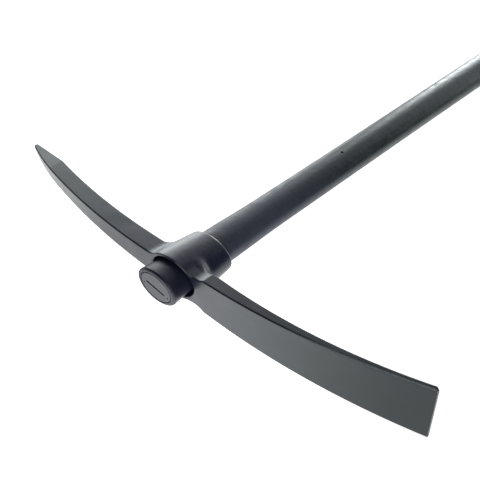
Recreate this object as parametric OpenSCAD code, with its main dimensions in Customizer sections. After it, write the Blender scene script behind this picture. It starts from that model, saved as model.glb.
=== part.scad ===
// Pick axe: a forged head with a point and a broad blade, dropped onto an oval moulded handle.
// Origin at the centre of the nose face. +X runs to the blade, +Y along the handle, +Z is up.

/* [Handle] */
// Overall length of the handle, from the nose face to the butt
handle_l = 950; // [700:10:1100]
// Thickness of the shaft across its short axis
shaft_t = 28.2; // [27:0.1:29.2]
// Width of every handle section, as a share of its thickness
oval_width_share = 1.43; // [1.3:0.01:1.46]
// Thickness of the nose across its short axis
nose_t = 35; // [33:0.1:35.6]
// Length of the straight nose, up to where the wedge begins
nose_l = 42; // [36:0.5:50]
// Thickness of the wedge where the shaft leaves the eye
swell_t = 30.4; // [29.4:0.1:31]
// Length over which the swelling runs out into the shaft
swell_l = 85; // [50:1:150]
// Rounding of the nose edge
nose_edge_r = 2.4; // [1:0.1:3]

/* [Core] */
// Diameter of the glass fibre rod
core_d = 20; // [16:0.5:22]
// Distance from the nose face to the front end of the rod
core_inset = 24; // [20:0.5:30]

/* [Caps] */
// Lip of the jacket that stays around the nose cap
cap_lip = 2.6; // [2.5:0.1:4]
// Thickness of the nose cap's plate
nose_cap_t = 5; // [3:0.1:8]
// Thickness of the butt cap's plate
butt_cap_t = 9; // [5:0.5:14]
// Rounding of the butt cap's edge
butt_edge_r = 4; // [1:0.1:4.5]
// Diameter of the spigots that hold the caps
spigot_d = 12; // [8:0.5:15]
// Length of the spigots
spigot_l = 14; // [8:0.5:14.5]

/* [Jacket marks] */
// Diameter of the holes left by the pins that held the rod in the mould
pin_hole_d = 3; // [2:0.1:5]
// Distance from the nose face to the pin holes
pin_hole_y = 272; // [200:1:400]

/* [Eye] */
// How far the nose stands out of the head's front face
nose_out = 20.3; // [12:0.1:28]
// Length of the eye from the front face to the rear rim
eye_l = 52; // [45:0.1:60]
// Thickness of the collar at the front face
collar_front_t = 43; // [42:0.1:48]
// Thickness of the collar at the rear rim
collar_back_t = 36.8; // [36.4:0.1:41]
// Width of the collar, as a share of its thickness
collar_width_share = 1.48; // [1.46:0.01:1.6]
// How far the collar swells between its two rims
collar_bulge = 0.4; // [0:0.1:1]
// Rounding of the collar's rims
collar_edge_r = 1.2; // [0.5:0.1:1.8]
// Room around the nose at the open mouth
mouth_gap = 1.1; // [0.5:0.1:1.4]
// Rounding of the mouth's edge
mouth_edge_r = 1.6; // [0.4:0.1:1.7]
// Room between the wedge and the eye
eye_clear = 0.3; // [0.1:0.05:0.4]

/* [Point arm] */
// Distance from the handle's axis to the tip
pick_reach = 272.5; // [200:0.5:330]
// Width of the arm at its root
pick_root_w = 22.5; // [18:0.1:26]
// Width of the arm where the point begins
pick_neck_w = 12.6; // [9:0.1:16]
// Depth of the arm, front to back, at its root
pick_root_d = 21.5; // [17:0.1:24]
// Depth of the arm where the point begins
pick_neck_d = 18.9; // [14:0.1:21]
// Length of the four-sided point
point_l = 56; // [35:0.5:80]
// Size of the blunt tip
tip_s = 2.6; // [1.5:0.1:5]
// Radius of the arm's backward bend
pick_bend_r = 840; // [600:5:1400]

/* [Blade arm] */
// Distance from the handle's axis to the cutting edge
blade_reach = 261.3; // [200:0.1:320]
// Width of the blade near its root
blade_root_w = 39.8; // [34:0.1:41]
// Width of the cutting edge
blade_edge_w = 57.7; // [42:0.1:80]
// Thickness of the blade at its root
blade_root_t = 13.8; // [10:0.1:17]
// Thickness of the blade where the edge bevel begins
blade_end_t = 4.6; // [3:0.1:6]
// Length of the ground bevel behind the cutting edge
bevel_l = 9; // [5:0.5:20]
// Thickness left at the cutting edge
edge_t = 1.6; // [0.8:0.1:2.5]
// Rounding of the blade's end corners
corner_r = 3; // [1:0.1:5]
// Radius of the blade's backward bend
blade_bend_r = 735; // [550:5:1400]

/* [Forging] */
// Rounding of the arms' long edges
arm_edge_r = 1.2; // [0.4:0.1:1.4]
// Radius of the fillets where the arms' sides meet the collar
side_fillet_r = 14; // [8:0.5:20]
// Radius of the fillets where the arms' backs meet the collar
back_fillet_r = 6; // [4:0.5:12]

/* [Hidden] */

forged_grey = "#4b4d50";
jacket_black = "#26272b";
rod_amber = "#c9b98a";
cap_black = "#34363a";

oval_sides = 72;
round_fn = 64;
hole_fn = 32;
corner_steps = 3;
edge_steps = 3;
collar_steps = 4;
swell_steps = 9;
arm_steps = 14;
root_steps = 10;

// Room between the nose cap's plate and the lip around it
cap_gap = 0.3;
// Rounding of the nose cap's edge
cap_edge_r = 0.8;
// Overrun of every cut past the face that it opens
over = 2;

nose_r = nose_t / 2;
shaft_r = shaft_t / 2;
swell_r = swell_t / 2;
core_r = core_d / 2;
spigot_r = spigot_d / 2;
socket_r = nose_r - cap_lip;
jacket_end = handle_l - butt_cap_t;
core_end = jacket_end - spigot_l;

face_y = nose_out;
rim_y = nose_out + eye_l;
collar_front_r = collar_front_t / 2;
collar_back_r = collar_back_t / 2;
mouth_r = nose_r + mouth_gap;

// Places along the arms, measured out from the handle's axis
collar_reach = collar_front_r * collar_width_share;
pick_bend_start_share = 0.71;
blade_bend_start_share = 1.66;
pick_bend_start = collar_reach * pick_bend_start_share;
blade_bend_start = collar_reach * blade_bend_start_share;
point_start = pick_reach - point_l;
bevel_start = blade_reach - bevel_l;
// The arms start inside the collar, where the eye later cuts them away
root_start_share = 0.55;
root_start = collar_reach * root_start_share;
// The blade is drawn in beside the collar, then swings out to its straight taper
waist_share = 0.9;
shoulder_share = 1.6;
waist_depth_share = 0.14;
waist_x = collar_reach * waist_share;
shoulder_x = collar_reach * shoulder_share;
waist_in = blade_root_w / 2 * waist_depth_share;
// How quickly the blade thins out towards its edge
thinning_power_share = 1.6;
// Where each fillet leaves its arm, past the collar's reach, as a share of the fillet's radius
pick_side_out_share = 0.08;
blade_side_out_share = -0.47;
back_out_share = 0.82;
// How far each fillet runs before it meets the collar, as a share of the fillet's radius
pick_side_run_share = 0.62;
blade_side_run_share = 0.45;
back_run_share = 0.97;
// How far the back edges soften as they climb the collar, as a share of the climb
back_soften_share = 0.3;
// Rounding of the tip and of the thin blade, as shares of their thickness
tip_round_share = 0.25;
edge_round_share = 0.33;

function clamp(v, low, high) = min(max(v, low), high);
function lerp(a, b, u) = a + (b - a) * u;
function arc_rise(r, run) = r - sqrt(r * r - run * run);
function fillet_rise(r, run, run_share) = arc_rise(r, clamp(run, 0, r * run_share));
function spread(from, to, steps) = [for (i = [0 : steps]) lerp(from, to, i / steps)];

// Quarter round from angle a to angle b
function quarter(cx, cy, r, a, b, steps) =
    [for (angle = spread(a, b, steps)) [cx + r * cos(angle), cy + r * sin(angle)]];

// Ring of an arm at distance x: a rectangle in y and z with rounded front and back corners
function arm_ring(x, front, back, half_w, front_r, back_r) =
    [for (p = concat(
        quarter(back - back_r, half_w - back_r, back_r, 0, 90, corner_steps),
        quarter(front + front_r, half_w - front_r, front_r, 90, 180, corner_steps),
        quarter(front + front_r, front_r - half_w, front_r, 180, 270, corner_steps),
        quarter(back - back_r, back_r - half_w, back_r, 270, 360, corner_steps)
    )) [x, p[0], p[1]]];

// Extra size of an arm where its fillets climb the collar, at distance x
function pick_side_flare(x) = fillet_rise(side_fillet_r,
    collar_reach + side_fillet_r * pick_side_out_share - x, pick_side_run_share);
function blade_side_flare(x) = fillet_rise(side_fillet_r,
    collar_reach + side_fillet_r * blade_side_out_share - x, blade_side_run_share);
function back_flare(x) = fillet_rise(back_fillet_r,
    collar_reach + back_fillet_r * back_out_share - x, back_run_share);

// Point arm: its front face bends back on an arc, and its end runs straight into the point
function pick_along(x) = (x - collar_reach) / (point_start - collar_reach);
function pick_front(x) = face_y + arc_rise(pick_bend_r, max(0, x - pick_bend_start));
function pick_depth(x) = lerp(pick_root_d, pick_neck_d, pick_along(x));
function pick_half_w(x) = lerp(pick_root_w, pick_neck_w, pick_along(x)) / 2 + pick_side_flare(x);
function pick_ring(x) =
    let (flare = back_flare(x), front = pick_front(x))
    arm_ring(x, front, front + pick_depth(x) + flare, pick_half_w(x), arm_edge_r,
        arm_edge_r + flare * back_soften_share);

// Slope and middle of the arm where the point begins
point_run = point_start - pick_bend_start;
point_slope = point_run / sqrt(pick_bend_r * pick_bend_r - point_run * point_run);
point_middle = pick_front(point_start) + pick_neck_d / 2;
tip_middle = point_middle + point_slope * point_l;
tip_ring = arm_ring(pick_reach, tip_middle - tip_s / 2, tip_middle + tip_s / 2, tip_s / 2,
    tip_s * tip_round_share, tip_s * tip_round_share);

// Blade arm: a flat front face on an arc, thinning and widening towards the edge
function blade_along(x) = clamp((x - shoulder_x) / (bevel_start - shoulder_x), 0, 1);
function blade_front(x) = face_y + arc_rise(blade_bend_r, max(0, x - blade_bend_start));
function blade_thick(x) =
    x > bevel_start
        ? lerp(blade_end_t, edge_t, (x - bevel_start) / bevel_l)
        : lerp(blade_end_t, blade_root_t, pow(1 - blade_along(x), thinning_power_share));
function blade_taper(x) =
    lerp(blade_root_w, blade_edge_w, (x - shoulder_x) / (blade_reach - shoulder_x)) / 2;
function blade_waist(x) =
    waist_in * (1 + cos(180 * clamp((x - waist_x) / (shoulder_x - waist_x), 0, 1))) / 2;
function blade_corner(x) = arc_rise(corner_r, max(0, x - blade_reach + corner_r));
function blade_half_w(x) = blade_taper(x) - blade_waist(x) - blade_corner(x) + blade_side_flare(x);
function blade_ring(x) =
    let (
        flare = back_flare(x),
        thick = blade_thick(x),
        front = blade_front(x),
        round_r = min(arm_edge_r, thick * edge_round_share)
    )
    arm_ring(x, front, front + thick + flare, blade_half_w(x), round_r,
        round_r + flare * back_soften_share);

pick_straight_x = collar_reach + side_fillet_r;
pick_stations = concat(
    spread(root_start, pick_straight_x, root_steps),
    [for (i = [1 : arm_steps]) lerp(pick_straight_x, point_start, i / arm_steps)]
);
blade_stations = concat(
    spread(root_start, shoulder_x, root_steps),
    [for (i = [1 : arm_steps]) lerp(shoulder_x, bevel_start, i / arm_steps)],
    [for (a = spread(0, 90, edge_steps)) blade_reach - corner_r + corner_r * sin(a)]
);

// Solid through a list of rings that all have the same number of points
module loft(rings) {
    count = len(rings);
    n = len(rings[0]);
    sides = [for (k = [0 : count - 2], i = [0 : n - 1])
        let (a = k * n + i, b = k * n + (i + 1) % n, c = a + n, d = b + n)
        each [[a, d, b], [a, c, d]]];
    first = [[for (i = [0 : n - 1]) i]];
    last = [[for (i = [0 : n - 1]) count * n - 1 - i]];
    polyhedron(points = [for (r = rings) each r], faces = concat(sides, first, last));
}

// Solid along the handle's axis with oval sections, from a profile of [half thickness, y] points
module oval_solid(width_share, profile) {
    loft([for (p = profile)
        [for (i = [0 : oval_sides - 1])
            let (a = 360 * i / oval_sides)
            [p[0] * width_share * sin(a), p[1], p[0] * cos(a)]]]);
}

module axis_rod(r, from, to) {
    translate([0, from, 0])
        rotate([-90, 0, 0])
            cylinder(h = to - from, r = r, $fn = round_fn);
}

// The wedge between the nose and the rear rim, as points of a profile
function wedge_profile(grow) = [[nose_r + grow, nose_l], [swell_r + grow, rim_y]];

function collar_r(u) = lerp(collar_front_r, collar_back_r, u) + collar_bulge * sin(180 * u);

module collar() {
    oval_solid(collar_width_share, concat(
        quarter(collar_front_r - collar_edge_r, face_y + collar_edge_r, collar_edge_r, 270, 360, edge_steps),
        [for (i = [1 : collar_steps - 1]) [collar_r(i / collar_steps), face_y + eye_l * i / collar_steps]],
        quarter(collar_back_r - collar_edge_r, rim_y - collar_edge_r, collar_edge_r, 0, 90, edge_steps)
    ));
}

// The eye: a rounded mouth that narrows to the wedge and follows it to the rear rim
module eye_cut() {
    oval_solid(oval_width_share, concat(
        [[mouth_r + mouth_edge_r, face_y - over]],
        quarter(mouth_r + mouth_edge_r, face_y + mouth_edge_r, mouth_edge_r, 270, 180, edge_steps),
        wedge_profile(eye_clear),
        [[swell_r + eye_clear, rim_y + over]]
    ));
}

module head() {
    color(forged_grey)
        difference() {
            union() {
                collar();
                mirror([1, 0, 0])
                    loft(concat([for (x = pick_stations) pick_ring(x)], [tip_ring]));
                loft([for (x = blade_stations) blade_ring(x)]);
            }
            eye_cut();
        }
}

function swell_profile() =
    [for (i = [1 : swell_steps])
        [lerp(shaft_r, swell_r, (1 + cos(180 * i / swell_steps)) / 2), rim_y + swell_l * i / swell_steps]];

module handle_jacket() {
    color(jacket_black)
        difference() {
            oval_solid(oval_width_share, concat(
                quarter(nose_r - nose_edge_r, nose_edge_r, nose_edge_r, 270, 360, edge_steps),
                wedge_profile(0),
                swell_profile(),
                [[shaft_r, jacket_end]]
            ));
            oval_solid(oval_width_share, [[socket_r, -over], [socket_r, nose_cap_t]]);
            axis_rod(spigot_r, 0, core_inset + over);
            axis_rod(core_r, core_inset, core_end);
            axis_rod(spigot_r, core_end - over, jacket_end + over);
            for (side = [0, 180])
                translate([0, pin_hole_y, 0])
                    rotate([0, side, 0])
                        cylinder(h = shaft_r + over, d = pin_hole_d, $fn = hole_fn);
        }
}

module handle_core() {
    color(rod_amber)
        axis_rod(core_r, core_inset, core_end);
}

module nose_cap() {
    plate_r = socket_r - cap_gap;
    color(cap_black)
        union() {
            oval_solid(oval_width_share, concat(
                quarter(plate_r - cap_edge_r, cap_edge_r, cap_edge_r, 270, 360, edge_steps),
                [[plate_r, nose_cap_t]]
            ));
            axis_rod(spigot_r, nose_cap_t - cap_edge_r, nose_cap_t + spigot_l);
        }
}

module butt_cap() {
    color(cap_black)
        union() {
            oval_solid(oval_width_share, concat(
                [[shaft_r, jacket_end]],
                quarter(shaft_r - butt_edge_r, handle_l - butt_edge_r, butt_edge_r, 0, 90, edge_steps)
            ));
            axis_rod(spigot_r, core_end, jacket_end + butt_edge_r);
        }
}

head();
handle_jacket();
handle_core();
nose_cap();
butt_cap();
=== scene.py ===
import math

import bmesh
import bpy
import numpy as np
from mathutils import Matrix, Vector


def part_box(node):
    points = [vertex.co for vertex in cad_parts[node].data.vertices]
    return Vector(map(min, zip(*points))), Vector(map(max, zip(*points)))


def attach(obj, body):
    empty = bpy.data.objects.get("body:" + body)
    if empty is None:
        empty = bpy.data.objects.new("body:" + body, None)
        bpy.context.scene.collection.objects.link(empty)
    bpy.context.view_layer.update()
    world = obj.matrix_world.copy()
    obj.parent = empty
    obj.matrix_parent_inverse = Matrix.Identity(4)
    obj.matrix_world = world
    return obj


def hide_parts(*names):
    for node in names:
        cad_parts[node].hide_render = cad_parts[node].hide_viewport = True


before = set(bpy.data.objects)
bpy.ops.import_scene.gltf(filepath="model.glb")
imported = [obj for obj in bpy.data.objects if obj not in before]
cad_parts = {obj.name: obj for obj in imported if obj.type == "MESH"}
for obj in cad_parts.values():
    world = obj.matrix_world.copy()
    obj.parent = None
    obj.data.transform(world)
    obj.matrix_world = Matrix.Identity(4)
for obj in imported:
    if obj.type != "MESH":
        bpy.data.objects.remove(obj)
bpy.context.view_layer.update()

mm = 0.001
tiny = 1e-6                                    # keeps a division away from zero
ovalSides = 144                                # points around an oval section

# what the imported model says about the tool, in mm
headLow, headHigh = [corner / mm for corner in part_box("head")]
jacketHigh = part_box("handle_jacket")[1] / mm
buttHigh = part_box("butt_cap")[1] / mm

faceY, rimY = headLow.y, headHigh.y            # front face of the head, rear rim of the eye
noseR, shaftR = jacketHigh.z, buttHigh.z       # half thickness of the nose and of the shaft
handleShare = jacketHigh.x / jacketHigh.z      # width of every handle section over its thickness
print("frame read: head", [round(v, 1) for v in (*headLow, *headHigh)])


def lerp(a, b, u):
    return a + (b - a) * u


def smooth(u):
    u = np.clip(u, 0.0, 1.0)
    return u * u * (3.0 - 2.0 * u)


def arcRise(radius, run):
    return radius - math.sqrt(radius * radius - run * run)


def circleTurns(sides):
    return [2 * math.pi * i / sides for i in range(sides)]


def meshObject(name, verts, faces):
    mesh = bpy.data.meshes.new(name)
    mesh.from_pydata([tuple(v * mm for v in p) for p in verts], [], faces)
    mesh.validate()
    obj = bpy.data.objects.new(name, mesh)
    bpy.context.scene.collection.objects.link(obj)
    return obj


def loftSolid(name, rings):
    # closed solid through rings that all have the same number of points
    around, last = len(rings[0]), len(rings) - 1
    faces = []
    for k in range(last):
        for i in range(around):
            j = (i + 1) % around
            faces.append((k * around + i, k * around + j, (k + 1) * around + j, (k + 1) * around + i))
    faces.append(tuple(reversed(range(around))))
    faces.append(tuple(range(last * around, (last + 1) * around)))
    obj = meshObject(name, [point for ring in rings for point in ring], faces)
    work = bmesh.new()
    work.from_mesh(obj.data)
    bmesh.ops.recalc_face_normals(work, faces=work.faces)
    work.to_mesh(obj.data)
    work.free()
    return obj


def ovalRing(r, y, share, sides=ovalSides):
    return [(r * share * math.sin(a), y, r * math.cos(a)) for a in circleTurns(sides)]


def ovalSolid(name, share, profile, sides=ovalSides):
    # oval solid along the handle, from a profile of half thickness and y
    return loftSolid(name, [ovalRing(r, y, share, sides) for r, y in profile])


def roundEdge(cr, cy, r, fromDeg, toDeg, steps):
    angles = [math.radians(lerp(fromDeg, toDeg, i / steps)) for i in range(steps + 1)]
    return [(cr + r * math.cos(a), cy + r * math.sin(a)) for a in angles]


def cutAway(obj, cutter):
    change = obj.modifiers.new("cut", "BOOLEAN")
    change.operation = "DIFFERENCE"
    change.solver = "EXACT"
    change.object = cutter
    graph = bpy.context.evaluated_depsgraph_get()
    cut = bpy.data.meshes.new_from_object(obj.evaluated_get(graph))
    obj.modifiers.remove(change)
    obj.data = cut
    bpy.data.objects.remove(cutter)


def softShade(obj, crease=32, weight=80):
    obj.data.shade_smooth()
    obj.data.set_sharp_from_angle(angle=math.radians(crease))
    even = obj.modifiers.new("evenNormals", "WEIGHTED_NORMAL")
    even.keep_sharp = True
    even.weight = weight


# Camera, solved from the photo
cameraSet = {
    "place": (0.423681, -0.337785, 0.50651), "azimuth": 43.325, "elevation": 40.004,
    "lens": 61.055, "sensor": 36.0, "nearest": 0.01, "farthest": 20.0,
}


def placeCamera(s):
    data = bpy.data.cameras.new("photoCamera")
    data.lens = s["lens"]
    data.sensor_width = s["sensor"]
    data.sensor_fit = "HORIZONTAL"
    data.clip_start = s["nearest"]
    data.clip_end = s["farthest"]
    camera = bpy.data.objects.new("photoCamera", data)
    bpy.context.scene.collection.objects.link(camera)
    a, e = math.radians(s["azimuth"]), math.radians(s["elevation"])
    back = Vector((math.sin(a) * math.cos(e), -math.cos(a) * math.cos(e), math.sin(e)))
    right = Vector((math.cos(a), math.sin(a), 0.0))
    turn = Matrix((right, back.cross(right), back)).transposed().to_4x4()
    camera.matrix_world = Matrix.Translation(s["place"]) @ turn
    bpy.context.scene.camera = camera


placeCamera(cameraSet)
print("camera placed")

# Forged head: point arm on -X, blade arm on +X, tapered oval collar around the eye (mm)
headSet = {
    # collar, its rear rim, and the fillets to the arms
    "collarFront": 21.5, "collarBack": 18.4, "collarWide": 1.48, "collarBulge": 0.4,
    "rimRound": 0.6, "rimBevel": 1.8, "rimLean": 25.0, "edgeRound": 1.2, "edgeLimit": 0.3,
    "pickFillet": 14.0, "pickBackFillet": 6.0, "bladeFillet": 26.0, "bladeBackFillet": 12.0,
    "filletLimit": 0.999,                      # keeps the fillet's sum away from parallel faces
    # point arm
    "pickRootWide": 22.5, "pickNeckWide": 12.6, "pickRootDeep": 21.5, "pickNeckDeep": 18.9,
    "pickBend": 840.0, "pickBendStart": 22.6, "pointLong": 56.0, "pointSwell": 1.3,
    "tipWide": 3.4, "tipDeep": 4.4, "tipMiddle": 2.6, "tipCentre": 0.3,
    # blade arm
    "bladeRootWide": 39.8, "bladeEdgeWide": 57.7, "bladeRootThick": 13.8, "bladeEndThick": 4.6,
    "bladeBend": 735.0, "bladeBendStart": 52.8, "thinning": 1.6,
    "shoulder": 50.9, "crease": 40.2, "waist": 28.2, "waistBend": 22.0,
    "bevelLong": 3.0, "edgeThick": 2.6, "endRound": 0.4, "topCorner": 3.4, "lowCorner": 0.2,
    # ground strip on the blade's top edge, and a painted highlight of bare colour on the collar's crest
    "stripStart": 110.0, "stripGrow": 90.0, "stripWide": 1.2, "stripDeep": 1.4,
    "stripLimit": 0.42, "stripFlat": 0.92,
    # stretch of the collar's crest that gets a painted highlight, and its strength
    "crestHighlightFrom": 7.0, "crestHighlightTo": 27.0, "crestHighlight": 0.8,
    # rings: runs of first, last and number near the collar, then those along the arms
    "nearRings": ((0.6, 23.5, 15), (24.0, 28.6, 22), (28.9, 33.0, 15), (34.0, 50.0, 15), (52.0, 76.0, 11)),
    "creaseGap": 0.3, "pickRings": 34, "neckGap": 0.7, "bladeRings": 42, "cornerRings": 8,
    "pointRings": (0.0, 0.012, 0.06, 0.2, 0.4, 0.6, 0.78, 0.9, 0.94),
    "tipRings": ((0.82, 0.22), (0.6, 0.5), (0.38, 0.8), (0.2, 1.0)),      # share of the section, way out
    # points of half a ring on its front, edge, side, edge and back, and how far the edges reach
    "points": (9, 5, 22, 5, 9), "edgeSpan": 1.05, "rimSpan": 2.0, "edgeSlack": 0.2, "edgeSteps": 40,
    "cornerNear": 26.0, "cornerFar": 42.0,
    # search for the skin near the collar
    "rays": 420, "rayLong": 80.0, "rayStart": 0.55, "rayDeep": 16.0, "halvings": 34,
}


def pickSection(d, s):
    neck = -headLow.x - s["pointLong"]
    root = s["collarFront"] * s["collarWide"]
    u = (min(d, neck) - root) / (neck - root)
    front = faceY + arcRise(s["pickBend"], max(0.0, min(d, neck) - s["pickBendStart"]))
    deep = lerp(s["pickRootDeep"], s["pickNeckDeep"], u)
    half = lerp(s["pickRootWide"], s["pickNeckWide"], u) / 2
    if d > neck:                               # the point runs straight on, with a slight swell
        run = neck - s["pickBendStart"]
        slope = run / math.sqrt(s["pickBend"] ** 2 - run ** 2)
        along = (d - neck) / s["pointLong"]
        back = front + deep / 2 + slope * (d - neck) + lerp(deep, s["tipMiddle"], along) / 2
        deep = lerp(deep, s["tipDeep"], along) + s["pointSwell"] * 4 * along * (1 - along)
        half = lerp(half, s["tipWide"] / 2, along)
        front = back - deep
    return front, front + deep, half


def bladeSection(d, s):
    reach = headHigh.x
    bevel = reach - s["bevelLong"]
    along = min(max((d - s["shoulder"]) / (bevel - s["shoulder"]), 0.0), 1.0)
    front = faceY + arcRise(s["bladeBend"], max(0.0, d - s["bladeBendStart"]))
    thick = lerp(s["bladeEndThick"], s["bladeRootThick"], (1 - along) ** s["thinning"])
    if d > bevel:
        thick = lerp(s["bladeEndThick"], s["edgeThick"], (d - bevel) / s["bevelLong"])
    # the sides are hollowed by an arc between the collar and a crease
    onSide = (max(d, s["crease"]) - s["shoulder"]) / (reach - s["shoulder"])
    half = lerp(s["bladeRootWide"], s["bladeEdgeWide"], onSide) / 2
    if d < s["crease"]:
        half -= ((s["crease"] - s["waist"]) ** 2 - max(d - s["waist"], 0.0) ** 2) / (2 * s["waistBend"])
    return front, front + thick, half


def armSection(x, s):
    return bladeSection(x, s) if x > 0 else pickSection(-x, s)


def roundMax(a, b, r):
    # outside of two faces, joined by a rounded edge of radius r
    u, v = np.maximum(a + r, 0.0), np.maximum(b + r, 0.0)
    return np.minimum(np.maximum(a, b) + r, 0.0) + np.hypot(u, v) - r


def edgeNormal(a, b, r):
    u, v = np.maximum(a + r, 0.0), np.maximum(b + r, 0.0)
    size = np.maximum(np.hypot(u, v), tiny)
    onEdge = (u > 0) & (v > 0)
    along = np.where(onEdge, u / size, np.where(a > b, 1.0, 0.0))
    across = np.where(onEdge, v / size, np.where(a > b, 0.0, 1.0))
    return along, across


def headLevel(x, y, z, section, s):
    # signed level of the forging at one station: below zero inside, the eye left uncut
    front, back, half = section
    side, rear = z - half, y - back
    arm = roundMax(side, rear, s["edgeRound"])
    armZ, armY = edgeNormal(side, rear, s["edgeRound"])
    # oval collar with a bevelled rear rim
    u = np.clip((y - faceY) / (rimY - faceY), 0.0, 1.0)
    b = lerp(s["collarFront"], s["collarBack"], u) + s["collarBulge"] * np.sin(np.pi * u)
    a = b * s["collarWide"]
    g = np.maximum(np.sqrt((x / a) ** 2 + (z / b) ** 2), tiny)
    slope = np.maximum(np.sqrt(x * x / a ** 4 + z * z / b ** 4) / g, tiny)
    skin, skinZ = (g - 1.0) / slope, z / b ** 2 / g / slope
    lean = math.radians(s["rimLean"])
    bevel = skin * math.cos(lean) + (y - rimY + s["rimBevel"] * math.cos(lean)) * math.sin(lean)
    collar = roundMax(np.maximum(skin, bevel), y - rimY, s["rimRound"])
    onSkin, onRim = edgeNormal(skin, y - rimY, s["rimRound"])
    # rolling ball fillet between the arm and the collar
    kind = "blade" if x > 0 else "pick"
    ball = lerp(s[kind + "BackFillet"], s[kind + "Fillet"], armZ)
    between = np.clip(armZ * skinZ * onSkin + armY * onRim, -s["filletLimit"], s["filletLimit"])
    p, q = np.maximum(ball - arm, 0.0), np.maximum(ball - collar, 0.0)
    reach = np.sqrt((p * p + q * q - 2 * between * p * q) / (1 - between ** 2))
    inFillet = (p > between * q) & (q > between * p) & (p > 0) & (q > 0)
    plain = np.minimum(arm, collar)
    joined = np.where(inFillet, np.minimum(ball - reach, plain), plain)
    return roundMax(joined, front - y, s["edgeRound"])


def traceHalf(x, s):
    # half outline at a station near the collar, from the front middle over +Z to the back middle
    section = armSection(x, s)
    centre = section[0] + s["rayStart"] * min(section[1] - section[0], s["rayDeep"])
    angle = np.linspace(-np.pi / 2, np.pi / 2, s["rays"])
    low, high = np.zeros(s["rays"]), np.full(s["rays"], s["rayLong"])
    for _ in range(s["halvings"]):
        r = (low + high) / 2
        inside = headLevel(x, centre + r * np.sin(angle), r * np.cos(angle), section, s) < 0
        low, high = np.where(inside, r, low), np.where(inside, high, r)
    r = (low + high) / 2
    return np.stack([centre + r * np.sin(angle), r * np.cos(angle)], 1)


def stripShare(x, s):
    # how far the ground strip along the top edge of the blade has grown
    return float(smooth((x - s["stripStart"]) / s["stripGrow"]))


def endRise(x, radius):
    # how far a rounded corner at the blade's end falls back at x
    return arcRise(radius, min(radius, max(0.0, x - headHigh.x + radius)))


def boxHalf(x, s, low=False):
    # half outline of a plain arm: front, front edge, side, back edge, back
    front, back, half = armSection(x, s)
    r = min(s["edgeRound"], (back - front) * s["edgeLimit"])
    if x > 0:
        half = min(half - endRise(x, s["lowCorner"] if low else s["topCorner"]), headHigh.z)
        front += endRise(x, s["endRound"])
    grow = 0.0 if low else stripShare(x, s)
    deep = min(lerp(r, s["stripDeep"], grow), (back - front) * s["stripLimit"])
    wide = lerp(r, s["stripWide"], grow)
    turn, step = np.linspace(0, np.pi / 2, s["edgeSteps"]), np.linspace(0, 1, s["edgeSteps"])
    rounded = np.stack([front + deep * (1 - np.cos(turn)), half - wide * (1 - np.sin(turn))], 1)
    bevel = np.stack([front + deep * step, half - wide * (1 - step)], 1)
    edge = lerp(rounded, bevel, s["stripFlat"] * grow)
    rear = np.stack([back - r * (1 - np.sin(turn)), half - r * (1 - np.cos(turn))], 1)
    return np.concatenate([[[front, 0.0]], edge, rear, [[back, 0.0]]])


def lengths(line):
    return np.concatenate([[0.0], np.cumsum(np.linalg.norm(np.diff(line, axis=0), axis=1))])


def spreadAlong(line, stops, numbers):
    # points along a polyline, evenly spread between the given lengths
    places = []
    for k, n in enumerate(numbers):
        places.extend(np.linspace(stops[k], stops[k + 1], n, endpoint=False))
    places.append(stops[-1])
    return np.stack([np.interp(places, lengths(line), line[:, k]) for k in (0, 1)], 1)


def edgeMarks(line):
    # lengths to the front edge, to the back corner and to the end
    along = lengths(line)
    front = along[np.argmax(line[:, 1] - line[:, 0])]
    corner = along[np.argmax(line[:, 0] + line[:, 1])]
    return front, corner, along[-1]


def cornerShare(line):
    front, corner, total = edgeMarks(line)
    return (corner - front) / (total - front)


def nearRing(x, lines, s):
    front, corner, total = edgeMarks(lines[x][0])
    size, close, far = abs(x), s["cornerNear"], s["cornerFar"]
    if close < size < far:                     # the corner slides from the collar's rim to the arm's edge
        ends = [min(lines, key=lambda v: abs(v - math.copysign(k, x))) for k in (close, far)]
        shares = [cornerShare(lines[end][0]) for end in ends]
        corner = front + lerp(*shares, float(smooth((size - close) / (far - close)))) * (total - front)
    atFront, atCorner = min(s["edgeSpan"], front / 2), min(s["edgeSpan"], (total - corner) / 2)
    onRim = s["rimSpan"] if size < close else 1.0          # the rear rim's bevel is wider than an arm's edge
    stops = [0.0, front - atFront, front + atFront,
             corner - atCorner * onRim, corner + atCorner / onRim, total]
    return spreadAlong(lines[x][0], stops, s["points"])


def armRing(line, s):
    along, n, slack = lengths(line), s["edgeSteps"], s["edgeSlack"]
    stops = [0.0, along[1] - slack, along[n] + slack, along[n + 1] - slack, along[2 * n] + slack, along[-1]]
    return spreadAlong(line, stops, s["points"])


def tipRings(base, s):
    # blunt rounded tip beyond the outermost ring of the point
    front, back = pickSection(-headLow.x, s)[:2]
    centre = np.array([lerp(front, back, s["tipCentre"]), 0.0])
    rings = []
    for share, out in s["tipRings"]:
        ring = base.copy()
        ring[:, 1:] = centre + (base[:, 1:] - base[:, 1:].mean(0)) * share
        ring[:, 0] = lerp(base[0, 0], headLow.x, out)
        rings.insert(0, ring)
    return rings


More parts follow.
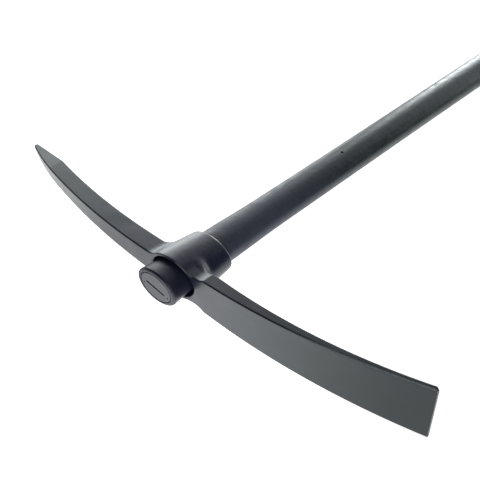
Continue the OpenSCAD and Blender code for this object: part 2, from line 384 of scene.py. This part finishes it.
def buildHead(s):
    near = [x for first, last, n in s["nearRings"] for x in np.linspace(first, last, n)]
    near = np.sort(near + [s["crease"] - s["creaseGap"], s["crease"] + s["creaseGap"]])
    neck, bevel = -headLow.x - s["pointLong"], headHigh.x - s["bevelLong"]
    point = neck + s["pointLong"] * np.array(s["pointRings"])
    alongPick = np.linspace(near[-1], neck, s["pickRings"])[1:-1]
    pickArm = np.concatenate([alongPick, [neck - s["neckGap"]], point])
    corner = headHigh.x - s["topCorner"] * (1 - np.sin(np.linspace(0, np.pi / 2, s["cornerRings"])))
    bladeArm = np.sort(np.concatenate([np.linspace(near[-1], bevel, s["bladeRings"])[1:], corner]))
    lines = {}
    for x in np.concatenate([-pickArm[::-1], -near[::-1], near, bladeArm]).tolist():
        lines[x] = (traceHalf(x, s),) if abs(x) <= near[-1] else (boxHalf(x, s), boxHalf(x, s, True))
    rings, ground = [], []
    onFront, onEdge = s["points"][:2]
    for x, halves in lines.items():
        if len(halves) == 1:
            up = down = nearRing(x, lines, s)
        else:
            up, down = [armRing(line, s) for line in halves]
        rings.append(np.array([(x, y, z) for y, z in up] + [(x, y, -z) for y, z in down[-2:0:-1]]))
        # between these x the bare colour on the collar's crest is a painted highlight; further out on the
        # blade it is the ground strip
        wearAndHighlight = s["crestHighlight"] if s["crestHighlightFrom"] < x < s["crestHighlightTo"] else stripShare(x, s)
        ground.extend(wearAndHighlight if onFront < i < onFront + onEdge else 0.0 for i in range(len(rings[-1])))
    tip = tipRings(rings[0], s)
    around = len(rings[0])
    head = loftSolid("forged_head", tip + rings)
    mark = head.data.attributes.new("ground", "FLOAT", "POINT")
    mark.data.foreach_set("value", [0.0] * (len(tip) * around) + ground)
    print("head skin:", len(tip + rings), "stations,", around, "points around")
    return head


# Eye of the head, cut to fit the handle's nose and wedge (mm)
eyeSet = {
    "mouthGap": 1.1, "mouthRound": 1.6, "mouthTurn": 258.0, "mouthFlare": 0.35, "clear": 0.3,
    "wedgeStart": 42.0, "wedgeEnd": 15.2, "rimFlare": 0.25, "rearFlare": 0.5, "over": 4.0,
    "ease": 3.2, "easeDeep": 5.0, "easePower": 5,
    "mouthRings": (0.03, 0.07, 0.12, 0.18, 0.5, 1.0), "wedgeRings": (0.5, 0.96), "roundSteps": 9,
}


def cutEye(head, s):
    mouth, r, seat = noseR + s["mouthGap"], s["mouthRound"], noseR + s["clear"]
    rim = s["wedgeEnd"] + s["clear"]
    profile = [(mouth + r + s["mouthFlare"], faceY - s["over"])]
    profile += roundEdge(mouth + r, faceY + r, r, s["mouthTurn"], 180, s["roundSteps"])
    profile += [(lerp(mouth, seat, t), lerp(faceY + r, s["wedgeStart"], t)) for t in s["mouthRings"]]
    profile += [(lerp(seat, rim, t), lerp(s["wedgeStart"], rimY, t)) for t in s["wedgeRings"]]
    profile += [(rim + s["rimFlare"], rimY), (rim + s["rearFlare"], rimY + s["over"])]
    cutter = ovalSolid("eyeCutter", handleShare, profile)
    for point in cutter.data.vertices:         # the mouth is eased towards the blade
        x, y, z = point.co / mm
        near = min(max(1.0 - (y - faceY) / s["easeDeep"], 0.0), 1.0)
        toBlade = (max(x, 0.0) / math.hypot(x, z)) ** s["easePower"]
        point.co.x += s["ease"] * mm * toBlade * arcRise(1.0, near)
    cutAway(head, cutter)


headPiece = buildHead(headSet)
cutEye(headPiece, eyeSet)
softShade(headPiece)
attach(headPiece, "pick_head")
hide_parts("head")
print("head cut:", len(headPiece.data.polygons), "faces")

# Handle: moulded jacket around the rod (mm)
jacketSet = {
    "noseRound": 2.3, "neck": 16.1, "wedgeEnd": 15.2, "swellLong": 85.0,
    "capLip": 3.3, "lipRound": 0.45, "lipTurn": 255.0, "lipFlare": 0.2, "capDeep": 5.0,
    "spigot": 6.0, "spigotLong": 14.0, "rod": 10.0, "rodStart": 24.0,
    "boreStart": 2.0, "step": 0.01, "over": 3.0,
    "pinHole": 1.5, "pinY": 272.0, "pinBottom": 7.0, "pinMouth": ((0.0, -0.5), (0.12, -0.2), (0.5, 0.3)),
    "noseRings": (0.1, 0.4, 0.7, 1.0), "wedgeRings": (0.3, 0.65, 0.97), "swellRings": (0.02, 1.0, 22),
    "shaftRings": (200.0, 225.0), "tailStart": 60.0, "tailRings": 10,
    "pinRings": (-24.0, -12.0, -6.0, -3.2, -2.2, 2.2, 3.2, 6.0, 12.0, 24.0),  # rings close to the pin holes
    "noseSteps": 10, "lipSteps": 5, "sides": 160, "boreSides": 64, "pinSides": 40,
}


def buildJacket(s):
    end, r = jacketHigh.y, s["noseRound"]
    profile = roundEdge(noseR - r, r, r, 270, 360, s["noseSteps"])
    profile += [(lerp(noseR, s["neck"], t), lerp(r, faceY, t)) for t in s["noseRings"]]
    profile += [(lerp(s["neck"], s["wedgeEnd"], t), lerp(faceY, rimY, t)) for t in s["wedgeRings"]]
    for t in np.linspace(*s["swellRings"]):
        fade = (1 + math.cos(math.pi * t)) / 2
        profile.append((lerp(shaftR, s["wedgeEnd"], fade), rimY + s["swellLong"] * t))
    nearPin = [s["pinY"] + gap for gap in s["pinRings"]]
    tail = np.linspace(s["pinY"] + s["tailStart"], end, s["tailRings"])
    profile += [(shaftR, y) for y in (*s["shaftRings"], *nearPin, *tail)]
    jacket = ovalSolid("handle_skin", handleShare, profile, s["sides"])
    # socket for the nose cap
    socket, lip = noseR - s["capLip"], s["lipRound"]
    opening = [(socket + lip + s["lipFlare"], -s["over"])]
    opening += roundEdge(socket + lip, lip, lip, s["lipTurn"], 180, s["lipSteps"]) + [(socket, s["capDeep"])]
    cutAway(jacket, ovalSolid("socketCutter", handleShare, opening, s["sides"]))
    # bore for the rod and for the spigots of both caps
    rodEnd = end - s["spigotLong"]
    bore = [(s["spigot"], s["boreStart"]), (s["spigot"], s["rodStart"]),
            (s["rod"], s["rodStart"] + s["step"]), (s["rod"], rodEnd - s["step"]),
            (s["spigot"], rodEnd), (s["spigot"], end + s["over"])]
    cutAway(jacket, ovalSolid("boreCutter", 1.0, bore, s["boreSides"]))
    # pin holes of the mould, one on each side
    rows = [(s["pinHole"], s["pinBottom"])]
    rows += [(s["pinHole"] + wider, shaftR + up) for wider, up in s["pinMouth"]]
    turns = circleTurns(s["pinSides"])
    for side in (1, -1):
        rings = [[(r * math.cos(a), s["pinY"] + r * math.sin(a), side * z) for a in turns] for r, z in rows]
        cutAway(jacket, loftSolid("pinCutter", rings))
    return jacket


# Nose cap with a plain moulded slot and two pin marks, and butt cap (mm)
capSet = {
    "gap": 0.4, "round": 0.8, "roundSteps": 6, "buttRound": 4.0, "buttSteps": 10,
    "slotEnds": ((-11.3, 1.1), (10.2, -2.6)), "slotHalf": 1.0, "slotSteps": 20,
    "slotRows": ((1.35, -1.0), (1.0, 0.28), (0.8, 0.8)),                  # share of the width, depth
    "pinMarks": ((-15.3, -2.0), (15.2, -3.6)), "markHalf": 0.8, "markSides": 24,
    "markRows": ((1.3, -1.0), (1.0, 0.15), (0.8, 0.6)),
}


def slotRing(ends, r, steps):
    # outline of a straight slot with round ends
    (x0, z0), (x1, z1) = ends
    turn = math.atan2(z1 - z0, x1 - x0)
    ring = []
    for k, (x, z) in enumerate(((x1, z1), (x0, z0))):
        for i in range(steps):
            a = turn - math.pi / 2 + k * math.pi + math.pi * i / (steps - 1)
            ring.append((x + r * math.cos(a), z + r * math.sin(a)))
    return ring


def buildNoseCap(s, jacket):
    deep, r = jacket["capDeep"], s["round"]
    plate = noseR - jacket["capLip"] - s["gap"]
    profile = roundEdge(plate - r, r, r, 270, 360, s["roundSteps"]) + [(plate, deep)]
    rings = [ovalRing(half, y, handleShare) for half, y in profile]
    rings += [ovalRing(jacket["spigot"], y, 1.0) for y in (deep, deep + jacket["spigotLong"])]
    cap = loftSolid("nose_plug", rings)
    cuts = [[[(x, y, z) for x, z in slotRing(s["slotEnds"], s["slotHalf"] * grow, s["slotSteps"])]
             for grow, y in s["slotRows"]]]
    for x, z in s["pinMarks"]:
        rows = [(s["markHalf"] * grow, y) for grow, y in s["markRows"]]
        cuts.append([[(x + r * math.cos(a), y, z + r * math.sin(a)) for a in circleTurns(s["markSides"])]
                     for r, y in rows])
    for cut in cuts:
        cutAway(cap, loftSolid("markCutter", cut))
    return cap


def buildButtCap(s, jacket):
    start, end, r = jacketHigh.y, buttHigh.y, s["buttRound"]
    rings = [ovalRing(jacket["spigot"], y, 1.0) for y in (start - jacket["spigotLong"], start)]
    profile = [(shaftR, start)] + roundEdge(shaftR - r, end - r, r, 0, 90, s["buttSteps"])
    rings += [ovalRing(half, y, handleShare) for half, y in profile]
    return loftSolid("butt_plug", rings)


jacketPiece = buildJacket(jacketSet)
noseCapPiece = buildNoseCap(capSet, jacketSet)
buttCapPiece = buildButtCap(capSet, jacketSet)
rodPiece = bpy.data.objects["handle_core"]
for piece, node, slot in ((jacketPiece, "handle_jacket", "jacket_plastic"),
                          (noseCapPiece, "nose_cap", "cap_plastic"),
                          (buttCapPiece, "butt_cap", "cap_plastic")):
    softShade(piece)
    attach(piece, "handle")
    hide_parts(node)
print("handle built:", len(jacketPiece.data.polygons), "faces")


# Materials, from noise on each piece's own coordinates
def newMaterial(name):
    material = bpy.data.materials.new(name)
    material.use_nodes = True
    tree = material.node_tree
    place = tree.nodes.new("ShaderNodeTexCoord").outputs["Object"]
    return material, tree, tree.nodes["Principled BSDF"].inputs, place


def feed(tree, value, socket):
    # a number or a colour is set on the socket, a node's output is linked to it
    if isinstance(value, tuple):
        socket.default_value = (*value, 1.0)
    elif isinstance(value, float):
        socket.default_value = value
    else:
        tree.links.new(value, socket)


def noiseNode(tree, place, noise, rough=0.55):
    # a noise in a dictionary is a pair of scale and detail
    node = tree.nodes.new("ShaderNodeTexNoise")
    scale, detail = noise
    for name, value in (("Vector", place), ("Scale", scale), ("Detail", detail), ("Roughness", rough)):
        feed(tree, value, node.inputs[name])
    return node.outputs["Fac"]


def spread(tree, value, low, high, start=0.3, stop=0.7, kind="LINEAR"):
    # value from start to stop becomes low to high; most noise lies between the default ends
    node = tree.nodes.new("ShaderNodeMapRange")
    node.interpolation_type = kind
    ends = (("From Min", start), ("From Max", stop), ("To Min", low), ("To Max", high))
    for name, number in (("Value", value), *ends):
        feed(tree, number, node.inputs[name])
    return node.outputs["Result"]


def mixNode(tree, factor, a, b, kind="RGBA"):
    node = tree.nodes.new("ShaderNodeMix")
    node.data_type = kind
    first, second, result = {"FLOAT": (2, 3, 0), "RGBA": (6, 7, 2)}[kind]      # sockets of that kind
    for value, socket in ((factor, "Factor"), (a, first), (b, second)):
        feed(tree, value, node.inputs[socket])
    return node.outputs[result]


def mathNode(tree, operation, *values):
    node = tree.nodes.new("ShaderNodeMath")
    node.operation = operation
    for value, socket in zip(values, node.inputs):
        feed(tree, value, socket)
    return node.outputs["Value"]


def bumpNode(tree, height, depth, strength=1.0, under=None):
    node = tree.nodes.new("ShaderNodeBump")
    for name, value in (("Height", height), ("Distance", depth), ("Strength", strength)):
        feed(tree, value, node.inputs[name])
    if under:
        tree.links.new(under, node.inputs["Normal"])
    return node.outputs["Normal"]


def alongAxis(tree, place, axis):
    node = tree.nodes.new("ShaderNodeSeparateXYZ")
    tree.links.new(place, node.inputs["Vector"])
    return node.outputs[axis]


# Dark lacquer on the forged head; lengths in metres
steelSet = {
    "dark": (0.0095, 0.011, 0.034), "light": (0.015, 0.017, 0.046), "cloud": (46.0, 4.0),
    "armDark": (0.0055, 0.009, 0.0115), "armLight": (0.009, 0.0135, 0.0165),
    "smooth": 0.27, "dull": 0.34, "mottle": (70.0, 5.0), "index": 1.57,
    "bareAndHighlight": (0.18, 0.19, 0.20), "bareRough": 0.42, "wearAndHighlightNoise": (420.0, 4.0), "wearAndHighlightLeast": 0.55,
    "collarCast": (0.94, 1.0, 0.97), "rootCast": (0.87, 0.90, 1.0), "outerCast": (0.90, 0.977, 0.997),
    "skinNear": 0.025, "skinFar": 0.04, "outerNear": 0.06, "outerFar": 0.16,
    "wave": (32.0, 1.0), "waveDeep": 0.0004, "skin": (210.0, 3.0), "skinDeep": 0.00018, "armSkin": 0.1,
    "grain": (900.0, 2.0), "grainDeep": 0.000012,
}


def lacquerSteel(s):
    material, tree, shader, place = newMaterial("forgedSteel")
    cloud = noiseNode(tree, place, s["cloud"])
    ground = tree.nodes.new("ShaderNodeAttribute")
    ground.attribute_name = "ground"           # ground strip of the blade, and a painted highlight along the collar's crest
    patchy = spread(tree, noiseNode(tree, place, s["wearAndHighlightNoise"]), s["wearAndHighlightLeast"], 1.0)
    wearAndHighlight = mathNode(tree, "MULTIPLY", ground.outputs["Fac"], patchy)
    away = mathNode(tree, "ABSOLUTE", alongAxis(tree, place, "X"))
    onArm = spread(tree, away, 0.0, 1.0, s["skinNear"], s["skinFar"])
    outer = spread(tree, away, 0.0, 1.0, s["outerNear"], s["outerFar"])
    collarPaint = mixNode(tree, cloud, s["dark"], s["light"])
    armPaint = mixNode(tree, cloud, s["armDark"], s["armLight"])
    paint = mixNode(tree, onArm, collarPaint, armPaint)
    # bare colour: wear on the blade's ground strip, and a painted highlight on the collar's crest
    feed(tree, mixNode(tree, wearAndHighlight, paint, s["bareAndHighlight"]), shader["Base Color"])
    lacquer = spread(tree, noiseNode(tree, place, s["mottle"]), s["smooth"], s["dull"])
    feed(tree, mixNode(tree, wearAndHighlight, lacquer, s["bareRough"], "FLOAT"), shader["Roughness"])
    feed(tree, s["index"], shader["IOR"])
    rootCast = mixNode(tree, onArm, s["collarCast"], s["rootCast"])
    feed(tree, mixNode(tree, outer, rootCast, s["outerCast"]), shader["Specular Tint"])
    wave = bumpNode(tree, noiseNode(tree, place, s["wave"]), s["waveDeep"])
    skinShare = spread(tree, onArm, 1.0, s["armSkin"], 0.0, 1.0)      # the arms are smoother than the collar
    skin = bumpNode(tree, noiseNode(tree, place, s["skin"]), s["skinDeep"], skinShare, wave)
    grain = bumpNode(tree, noiseNode(tree, place, s["grain"]), s["grainDeep"], 1.0, skin)
    feed(tree, grain, shader["Normal"])
    return material


# Moulded skin of the handle: polished nose, duller shaft, and painted shade making it darker towards the
# butt
skinSet = {
    "dark": (0.011, 0.0125, 0.031), "light": (0.019, 0.0205, 0.045), "cloud": (38.0, 4.0),
    "shaftDark": (0.021, 0.026, 0.050), "shaftLight": (0.043, 0.049, 0.080),
    "farShadeDark": (0.008, 0.0125, 0.017), "farShadeLight": (0.015, 0.0215, 0.026),
    "noseEnd": 0.03, "shaftStart": 0.08, "farFrom": 0.15, "farTo": 0.29,
    "smooth": 0.38, "dull": 0.54, "mottle": (90.0, 5.0), "shaftMore": 0.03, "farMore": -0.12,
    "nearCast": (0.97, 1.0, 1.0), "farCast": (0.86, 1.0, 0.97),
    "noseShine": 0.4, "shaftShine": 0.5, "index": 1.58,
    "skin": (170.0, 4.0), "skinDeep": 0.0003, "grain": (2200.0, 2.0), "grainDeep": 0.00002,
}


def mouldedSkin(s):
    material, tree, shader, place = newMaterial("jacketPlastic")
    cloud = noiseNode(tree, place, s["cloud"])
    along = alongAxis(tree, place, "Y")
    behind = spread(tree, along, 0.0, 1.0, s["noseEnd"], s["shaftStart"])
    far = spread(tree, along, 0.0, 1.0, s["farFrom"], s["farTo"])
    noseSkin = mixNode(tree, cloud, s["dark"], s["light"])
    shaftSkin = mixNode(tree, cloud, s["shaftDark"], s["shaftLight"])
    # the darker colour towards the butt is painted shade
    shadedFarSkin = mixNode(tree, cloud, s["farShadeDark"], s["farShadeLight"])
    handleSkin = mixNode(tree, behind, noseSkin, mixNode(tree, far, shaftSkin, shadedFarSkin))
    feed(tree, handleSkin, shader["Base Color"])
    rough = spread(tree, noiseNode(tree, place, s["mottle"]), s["smooth"], s["dull"])
    rough = mathNode(tree, "MULTIPLY_ADD", behind, s["shaftMore"], rough)
    rough = mathNode(tree, "MULTIPLY_ADD", far, s["farMore"], rough)
    feed(tree, rough, shader["Roughness"])
    feed(tree, s["index"], shader["IOR"])
    feed(tree, mixNode(tree, far, s["nearCast"], s["farCast"]), shader["Specular Tint"])
    feed(tree, spread(tree, behind, s["noseShine"], s["shaftShine"], 0.0, 1.0), shader["Specular IOR Level"])
    skin = bumpNode(tree, noiseNode(tree, place, s["skin"]), s["skinDeep"])
    grain = bumpNode(tree, noiseNode(tree, place, s["grain"]), s["grainDeep"], 1.0, skin)
    feed(tree, grain, shader["Normal"])
    return material


# Matt face of both caps
mattSet = {
    "dark": (0.030, 0.035, 0.048), "light": (0.040, 0.046, 0.060), "cloud": (38.0, 4.0),
    "smooth": 0.36, "dull": 0.46, "mottle": (90.0, 5.0), "index": 1.5,
    "grain": (2600.0, 2.0), "grainDeep": 0.00002,
}


def mattCap(s):
    material, tree, shader, place = newMaterial("capPlastic")
    cloud = noiseNode(tree, place, s["cloud"])
    feed(tree, mixNode(tree, cloud, s["dark"], s["light"]), shader["Base Color"])
    mottle = noiseNode(tree, place, s["mottle"])
    feed(tree, spread(tree, mottle, s["smooth"], s["dull"]), shader["Roughness"])
    feed(tree, s["index"], shader["IOR"])
    grain = noiseNode(tree, place, s["grain"])
    feed(tree, bumpNode(tree, grain, s["grainDeep"]), shader["Normal"])
    return material


# Drawn glass fibre of the rod, with long strands
fibreSet = {
    "dark": (0.36, 0.29, 0.14), "light": (0.60, 0.52, 0.32), "rough": 0.3,
    "stretch": (900.0, 9.0, 900.0), "strands": (1.0, 3.0), "strandDeep": 0.0001,
}


def glassFibre(s):
    material, tree, shader, place = newMaterial("glassFibre")
    stretch = tree.nodes.new("ShaderNodeMapping")
    stretch.inputs["Scale"].default_value = s["stretch"]
    tree.links.new(place, stretch.inputs["Vector"])
    strands = noiseNode(tree, stretch.outputs["Vector"], s["strands"])
    feed(tree, mixNode(tree, strands, s["dark"], s["light"]), shader["Base Color"])
    feed(tree, s["rough"], shader["Roughness"])
    feed(tree, bumpNode(tree, strands, s["strandDeep"]), shader["Normal"])
    return material


def dress(obj, material):
    obj.data.materials.clear()
    obj.data.materials.append(material)


capFace = mattCap(mattSet)
for piece, material in ((headPiece, lacquerSteel(steelSet)), (jacketPiece, mouldedSkin(skinSet)),
                        (noseCapPiece, capFace), (buttCapPiece, capFace), (rodPiece, glassFibre(fibreSet))):
    dress(piece, material)
print("materials set")

# Floor: a pale lit table that the lying tool touches with its blade corner, collar and butt
floorSet = {
    "slopeX": -0.02888, "slopeY": 0.00801, "gap": 0.02, "size": 6.0,
    "color": (0.9, 0.9, 0.9), "rough": 0.9, "glow": 0.8, "glowColor": (1.0, 1.0, 1.0),
    "pools": (                                 # soft pools of light on the table
        {"place": (0.05, -0.02), "reach": 0.22, "glow": 1.05},
        {"place": (-0.235, 0.03), "reach": 0.18, "glow": 0.7},
        {"place": (-0.22, 0.32), "reach": 0.4, "glow": 1.6},
    ),
}


def tableRise(x, y, s):
    return s["slopeX"] * x + s["slopeY"] * y


def buildFloor(s):
    lowest = []
    for piece in (headPiece, jacketPiece, buttCapPiece):
        spots = np.array([tuple(v.co) for v in piece.data.vertices]) / mm
        lowest.append((spots[:, 2] - tableRise(spots[:, 0], spots[:, 1], s)).min())
    print("floor touches: head %.2f, jacket %.2f, butt %.2f" % tuple(lowest))
    level = min(lowest) - s["gap"]
    h = s["size"] / mm / 2
    verts = [(x, y, level + tableRise(x, y, s)) for x, y in ((-h, -h), (h, -h), (h, h), (-h, h))]
    floor = meshObject("floor", verts, [(0, 1, 2, 3)])
    material, tree, shader, place = newMaterial("paleTable")
    feed(tree, s["color"], shader["Base Color"])
    feed(tree, s["rough"], shader["Roughness"])
    feed(tree, s["glowColor"], shader["Emission Color"])
    glow = s["glow"]
    for pool in s["pools"]:
        x, y = pool["place"]
        away = tree.nodes.new("ShaderNodeVectorMath")
        away.operation = "DISTANCE"
        tree.links.new(place, away.inputs[0])
        away.inputs[1].default_value = (x, y, level * mm + tableRise(x, y, s))
        fade = spread(tree, away.outputs["Value"], pool["glow"], 0.0, 0.0, pool["reach"], "SMOOTHSTEP")
        glow = mathNode(tree, "ADD", fade, glow)
    feed(tree, glow, shader["Emission Strength"])
    dress(floor, material)


buildFloor(floorSet)

# Studio light: soft boxes on a dome around the head, by bearing, height, size and strength
lightSet = {
    "aim": (0.0, 0.1, 0.0), "away": 2.2, "world": 0.0,
    "tints": {"plain": (0.96, 1.0, 1.01), "cool": (1.0, 0.985, 1.04)},
    "boxes": (
        {"name": "lowLeft", "bearing": 146, "height": 5, "size": 0.8, "watts": 10.0, "tint": "plain"},
        {"name": "rim", "bearing": 115, "height": 6, "size": 0.7, "watts": 17.0, "tint": "plain"},
        {"name": "lowBack", "bearing": 79, "height": 9, "size": 0.95, "watts": 7.5, "tint": "plain"},
        {"name": "left", "bearing": 152, "height": 23, "size": 1.0, "watts": 6.2, "tint": "plain"},
        {"name": "backLeft", "bearing": 131, "height": 30, "size": 1.0, "watts": 4.8, "tint": "cool"},
        {"name": "back", "bearing": 90, "height": 32, "size": 1.0, "watts": 3.0, "tint": "cool"},
        {"name": "overBack", "bearing": 120, "height": 58, "size": 1.0, "watts": 1.8, "tint": "cool"},
        {"name": "overRight", "bearing": 0, "height": 55, "size": 1.0, "watts": 3.2, "tint": "plain"},
        {"name": "lowRight", "bearing": 0, "height": 9, "size": 0.75, "watts": 1.0, "tint": "plain"},
        {"name": "fill", "bearing": 300, "height": 32, "size": 1.0, "watts": 12.0, "tint": "plain"},
    ),
}


def buildLights(s):
    aim = Vector(s["aim"])
    for box in s["boxes"]:
        data = bpy.data.lights.new(box["name"], "AREA")
        data.shape = "SQUARE"
        data.size = box["size"]
        data.energy = box["watts"]
        data.color = s["tints"][box["tint"]]
        lamp = bpy.data.objects.new(box["name"], data)
        bpy.context.scene.collection.objects.link(lamp)
        turn, rise = math.radians(box["bearing"]), math.radians(box["height"])
        toward = Vector((math.cos(turn) * math.cos(rise), math.sin(turn) * math.cos(rise), math.sin(rise)))
        lamp.location = aim + toward * s["away"]
        lamp.rotation_euler = (-toward).to_track_quat("-Z", "Y").to_euler()
    world = bpy.data.worlds.new("studio")
    bpy.context.scene.world = world
    world.use_nodes = True
    back = world.node_tree.nodes["Background"].inputs
    back["Color"].default_value = (1.0, 1.0, 1.0, 1.0)
    back["Strength"].default_value = s["world"]


buildLights(lightSet)
bpy.context.scene.view_settings.view_transform = "Standard"
print("floor and lights set")
